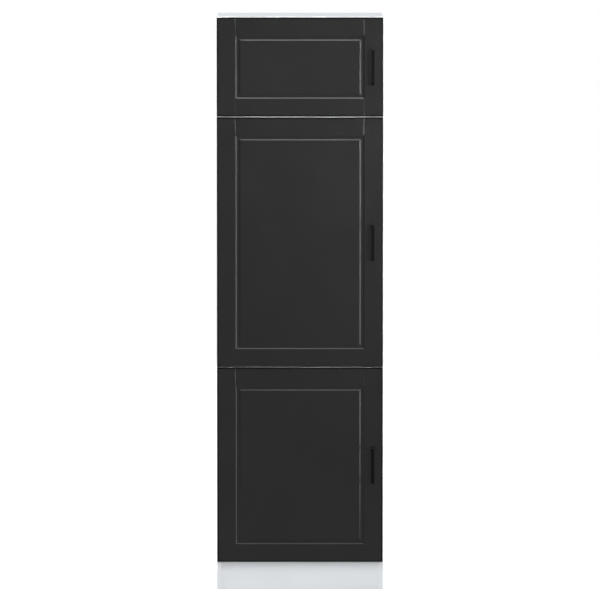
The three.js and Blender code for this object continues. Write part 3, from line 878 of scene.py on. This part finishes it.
for door in DOORS:
    for end in ("lower", "upper"):
        node = f"{door}_handle_{end}_screw"
        low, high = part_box(node)
        head_radius = (high.x - low.x) / 2
        head_height = 2.2 * MM
        shape = screw_shape(head_radius, head_height, HANDLE_SCREW_RADIUS, high.y - low.y - head_height)
        place = ((low.x + high.x) / 2, high.y - head_height, (low.z + high.z) / 2)
        add_piece(node + "_fine", facing(shape, place, (0, 1, 0)), door, nickel, [node])
print("handle screws:", 2 * len(DOORS))

# %% [markdown]
# ## Hinge cups
# Each concealed hinge has a pressed cup, let into the door. Its bowl is a turned part, and its flange is
# a disc joined to a strip with round ends, which takes two screws. Two pins stand in the bowl for the
# hinge's links. All six are the same, so the shape is worked out once, about the cup's own middle.

# %% Hinge cups
CUP_WALL = 1.2 * MM
CUP_FLOOR = 1 * MM
FLANGE = 1.3 * MM
WING_WIDTH = 12 * MM
WING_OFFSET = 6 * MM
LINK_PIN_RADIUS = 1.2 * MM
OUTER_PIN = (-11.836 * MM, 2.022 * MM)  # from the cup's middle across, and in from the door's back
INNER_PIN = (-8.158 * MM, 6.111 * MM)
OUTER_PIN_START = 0.15 * MM
INNER_PIN_START = 4.6 * MM


def pin_length(across):
    """Up to the bowl's wall, and halfway into it: radius times the cosine of asin(across / radius)."""
    radius = CUP_RADIUS - CUP_WALL / 2
    return radius * np.cos(asin(abs(across) / radius))


def cup_shape(wing_height):
    """The bowl opens along +Z, the door's back is at zero, and X and Y lie in the door's back."""
    bowl = turned(softened(
        [(-CUP_DEPTH, 0.0), (-CUP_DEPTH, CUP_RADIUS), (FLANGE, CUP_RADIUS), (FLANGE, CUP_RADIUS - CUP_WALL),
         (CUP_FLOOR - CUP_DEPTH, CUP_RADIUS - CUP_WALL), (CUP_FLOOR - CUP_DEPTH, 0.0)],
        [1.5 * MM, 0.3 * MM, 0.3 * MM, 1.2 * MM], steps=5), sides=72)
    start = SCREW_PLAY
    disc = rod(CUP_RADIUS + FLANGE_LIP, FLANGE - start, 0.25 * MM, sides=72)
    disc = facing(disc, (0, 0, start), (0, 0, 1))
    mouth = rod(CUP_RADIUS - CUP_WALL - 0.02 * MM, 4 * MM, 0.05 * MM, sides=72)
    mouth = facing(mouth, (0, 0, -2 * MM), (0, 0, 1))
    half, end = WING_WIDTH / 2, wing_height / 2 - WING_WIDTH / 2
    round_end = rod(half, FLANGE - start, 0.25 * MM, sides=40)
    ends = [facing(round_end, (WING_OFFSET, y, start), (0, 0, 1)) for y in (-end, end)]
    strip = board((WING_OFFSET - half, -end, start), (WING_OFFSET + half, end, FLANGE), 0.2 * MM)
    flange = carved(disc, joined=[strip, *ends], taken=[mouth])
    reach_outer, reach_inner = pin_length(OUTER_PIN[0]), pin_length(INNER_PIN[0])
    pins = [
        facing(rod(LINK_PIN_RADIUS, reach_outer - OUTER_PIN_START, 0.1 * MM, 20),
               (OUTER_PIN[0], OUTER_PIN_START, -OUTER_PIN[1]), (0, 1, 0)),
        facing(rod(LINK_PIN_RADIUS, reach_inner - INNER_PIN_START, 0.1 * MM, 20),
               (INNER_PIN[0], -INNER_PIN_START, -INNER_PIN[1]), (0, -1, 0)),
    ]
    return carved(bowl, joined=[flange, *pins])


low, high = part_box("lower_door_lower_hinge_cup")
cup = cup_shape(high.z - low.z)
print("cup:", len(cup[1]), "faces")

# %% [markdown]
# The cup's frame has its Z along the cabinet's depth and its Y upright. Each hinge then gets its cup,
# the two screws in the flange, two screws in the mounting plate and the two adjusting screws that sit on
# the arm. The links, arms and plates keep the frame's own meshes, with the plating on them.


# %% Placing the hinges' parts
def into_door(shape, place):
    """A shape with its own Z along the cabinet's depth and its own Y upright, moved to a place."""
    points, faces = shape
    x, y, z = points.T
    return np.stack([x, z, y], axis=-1) + np.array(place), faces


cup_screw = screw_shape(3.1 * MM, 0.9 * MM, 1.6 * MM, 7 * MM)
plate_screw = screw_shape(4.3 * MM, 1.9 * MM, 2.4 * MM, 12 * MM)
adjusting_screw = screw_shape(3.3 * MM, 1.3 * MM, 2 * MM, 1.2 * MM)
PLATE_SCREW_HALF_SPACING = 16 * MM
PLATE_THICKNESS = 3 * MM
ADJUSTING_SCREW_INSETS = (7 * MM, 24 * MM)  # from the arm's back end
for door in DOORS:
    door_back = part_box(door)[1].y
    for end in ("lower", "upper"):
        hinge = f"{door}_{end}_hinge"
        low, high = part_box(hinge + "_cup")
        level = (low.z + high.z) / 2
        cup_x = low.x + CUP_RADIUS + FLANGE_LIP
        add_piece(hinge + "_cup_fine", into_door(cup, (cup_x, door_back, level)), door,
                  nickel, [hinge + "_cup"])
        wing_screw = (high.z - low.z) / 2 - WING_WIDTH / 2
        heads = [facing(cup_screw, (cup_x + WING_OFFSET, door_back + FLANGE, level + z), (0, 1, 0))
                 for z in (-wing_screw, wing_screw)]
        plate_low, plate_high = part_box(hinge + "_mounting_plate")
        plate_y = (plate_low.y + plate_high.y) / 2
        plate_face = plate_low.x + PLATE_THICKNESS
        plate_heads = [facing(plate_screw, (plate_face, plate_y, level + z), (1, 0, 0))
                       for z in (-PLATE_SCREW_HALF_SPACING, PLATE_SCREW_HALF_SPACING)]
        arm_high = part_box(hinge + "_arm")[1]
        arm_heads = [facing(adjusting_screw, (arm_high.x, arm_high.y - inset, level), (1, 0, 0))
                     for inset in ADJUSTING_SCREW_INSETS]
        for title, placed, body in (("cup_screw", heads, door), ("plate_screw", plate_heads, "carcass"),
                                    ("adjusting_screw", arm_heads, "carcass")):
            for number, shape in enumerate(placed, 1):
                add_piece(f"{hinge}_{title}_{number}", shape, body, nickel)
steel_nodes = [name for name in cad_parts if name.endswith(("_link", "_arm", "_plate", "_bracket"))]
for name in steel_nodes:
    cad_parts[name].material_slots[0].material = nickel
print("steel nodes:", len(steel_nodes))

# %% [markdown]
# ## Small fittings
# What holds a flat-pack cabinet together is small: pins under the loose shelves, caps over the cam
# fittings under the fixed boards, screws through the wall brackets, and soft bumpers that keep a door
# from knocking on the carcass.

# %% Small fittings
PIN_SHANK = 9 * MM
PIN_PEG = 8 * MM
PIN_COLLAR = 0.7 * MM
PIN_PLAY = 0.05 * MM  # between a pin and the shelf on it
pin = turned(softened(
    [(-PIN_SHANK, 0.0), (-PIN_SHANK, 2.4 * MM), (0.0, 2.4 * MM), (0.0, 4 * MM), (PIN_COLLAR, 4 * MM),
     (PIN_COLLAR, 2.45 * MM), (PIN_PEG, 2.45 * MM), (PIN_PEG, 0.0)],
    [0.4 * MM, 0.05 * MM, 0.15 * MM, 0.15 * MM, 0.1 * MM, 0.8 * MM], steps=3), sides=28)
for shelf in LOOSE_SHELVES:
    for number, (side, y, z) in enumerate(pin_places(shelf), 1):
        shape = facing(pin, (side * inner_face, y, z - PIN_PLAY), (-side, 0, 0))
        add_piece(f"{shelf}_pin_{number}", shape, "carcass", nickel)

CAP_RADIUS = 8.5 * MM
CAP_HEIGHT = 0.7 * MM
CAM_FROM_SIDE = 34 * MM
CAM_FROM_EDGE = 50 * MM
cap = turned(softened(
    [(0.0, 0.0), (0.0, CAP_RADIUS), (CAP_HEIGHT, CAP_RADIUS - 0.5 * MM), (CAP_HEIGHT, 2 * MM),
     (0.6 * CAP_HEIGHT, 1.4 * MM), (0.6 * CAP_HEIGHT, 0.0)],
    [0.1 * MM, 0.3 * MM, 0.1 * MM, 0.1 * MM], steps=3), sides=36)
for node in FIXED_BOARDS:
    low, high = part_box(node)
    places = [(side * (inner_face - CAM_FROM_SIDE), y, low.z)
              for side in (-1, 1) for y in (low.y + CAM_FROM_EDGE, high.y - CAM_FROM_EDGE)]
    for number, place in enumerate(places, 1):
        shape = facing(cap, place, (0, 0, -1))
        add_piece(f"{node}_cam_cap_{number}", shape, "carcass", white_plastic)
print("pins:", 4 * len(LOOSE_SHELVES), "caps:", 4 * len(FIXED_BOARDS))

# %% [markdown]
# The bumpers sit on a door's back, over the side panel's front edge, and are a touch thinner than the
# gap, so a closed door rests almost on them.

# %% Bumpers and bracket screws
BUMPER_RADIUS = 4 * MM
BUMPER_HEIGHT = 1.6 * MM
BUMPER_INSET = 14 * MM
bumper = turned(softened([(0.0, 0.0), (0.0, BUMPER_RADIUS), (BUMPER_HEIGHT, 0.55 * BUMPER_RADIUS),
                          (BUMPER_HEIGHT, 0.0)], [0.1 * MM, 0.9 * MM], steps=5), sides=28)
edge_x = (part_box("right_side_panel")[0].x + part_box("right_side_panel")[1].x) / 2
for door in DOORS:
    low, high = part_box(door)
    for end, z in (("lower", low.z + BUMPER_INSET), ("upper", high.z - BUMPER_INSET)):
        shape = facing(bumper, (edge_x, high.y, z), (0, 1, 0))
        add_piece(f"{door}_{end}_bumper", shape, door, bumper_gel)

bracket_screw = screw_shape(4.6 * MM, 1.8 * MM, 2.6 * MM, 13 * MM)
BRACKET_THICKNESS = 2 * MM
BRACKET_SCREW_SHIFT = 10 * MM
BRACKET_SCREW_INSET = 22 * MM  # from the wall
for side in ("left", "right"):
    low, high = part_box(side + "_wall_bracket")
    middle = (low + high) / 2
    for number, shift in enumerate((-BRACKET_SCREW_SHIFT, BRACKET_SCREW_SHIFT), 1):
        place = (middle.x + shift, high.y - BRACKET_SCREW_INSET, high.z - BRACKET_THICKNESS)
        shape = facing(bracket_screw, place, (0, 0, -1))
        add_piece(f"{side}_wall_bracket_screw_{number}", shape, "carcass", nickel)
print("bumpers:", 2 * len(DOORS))
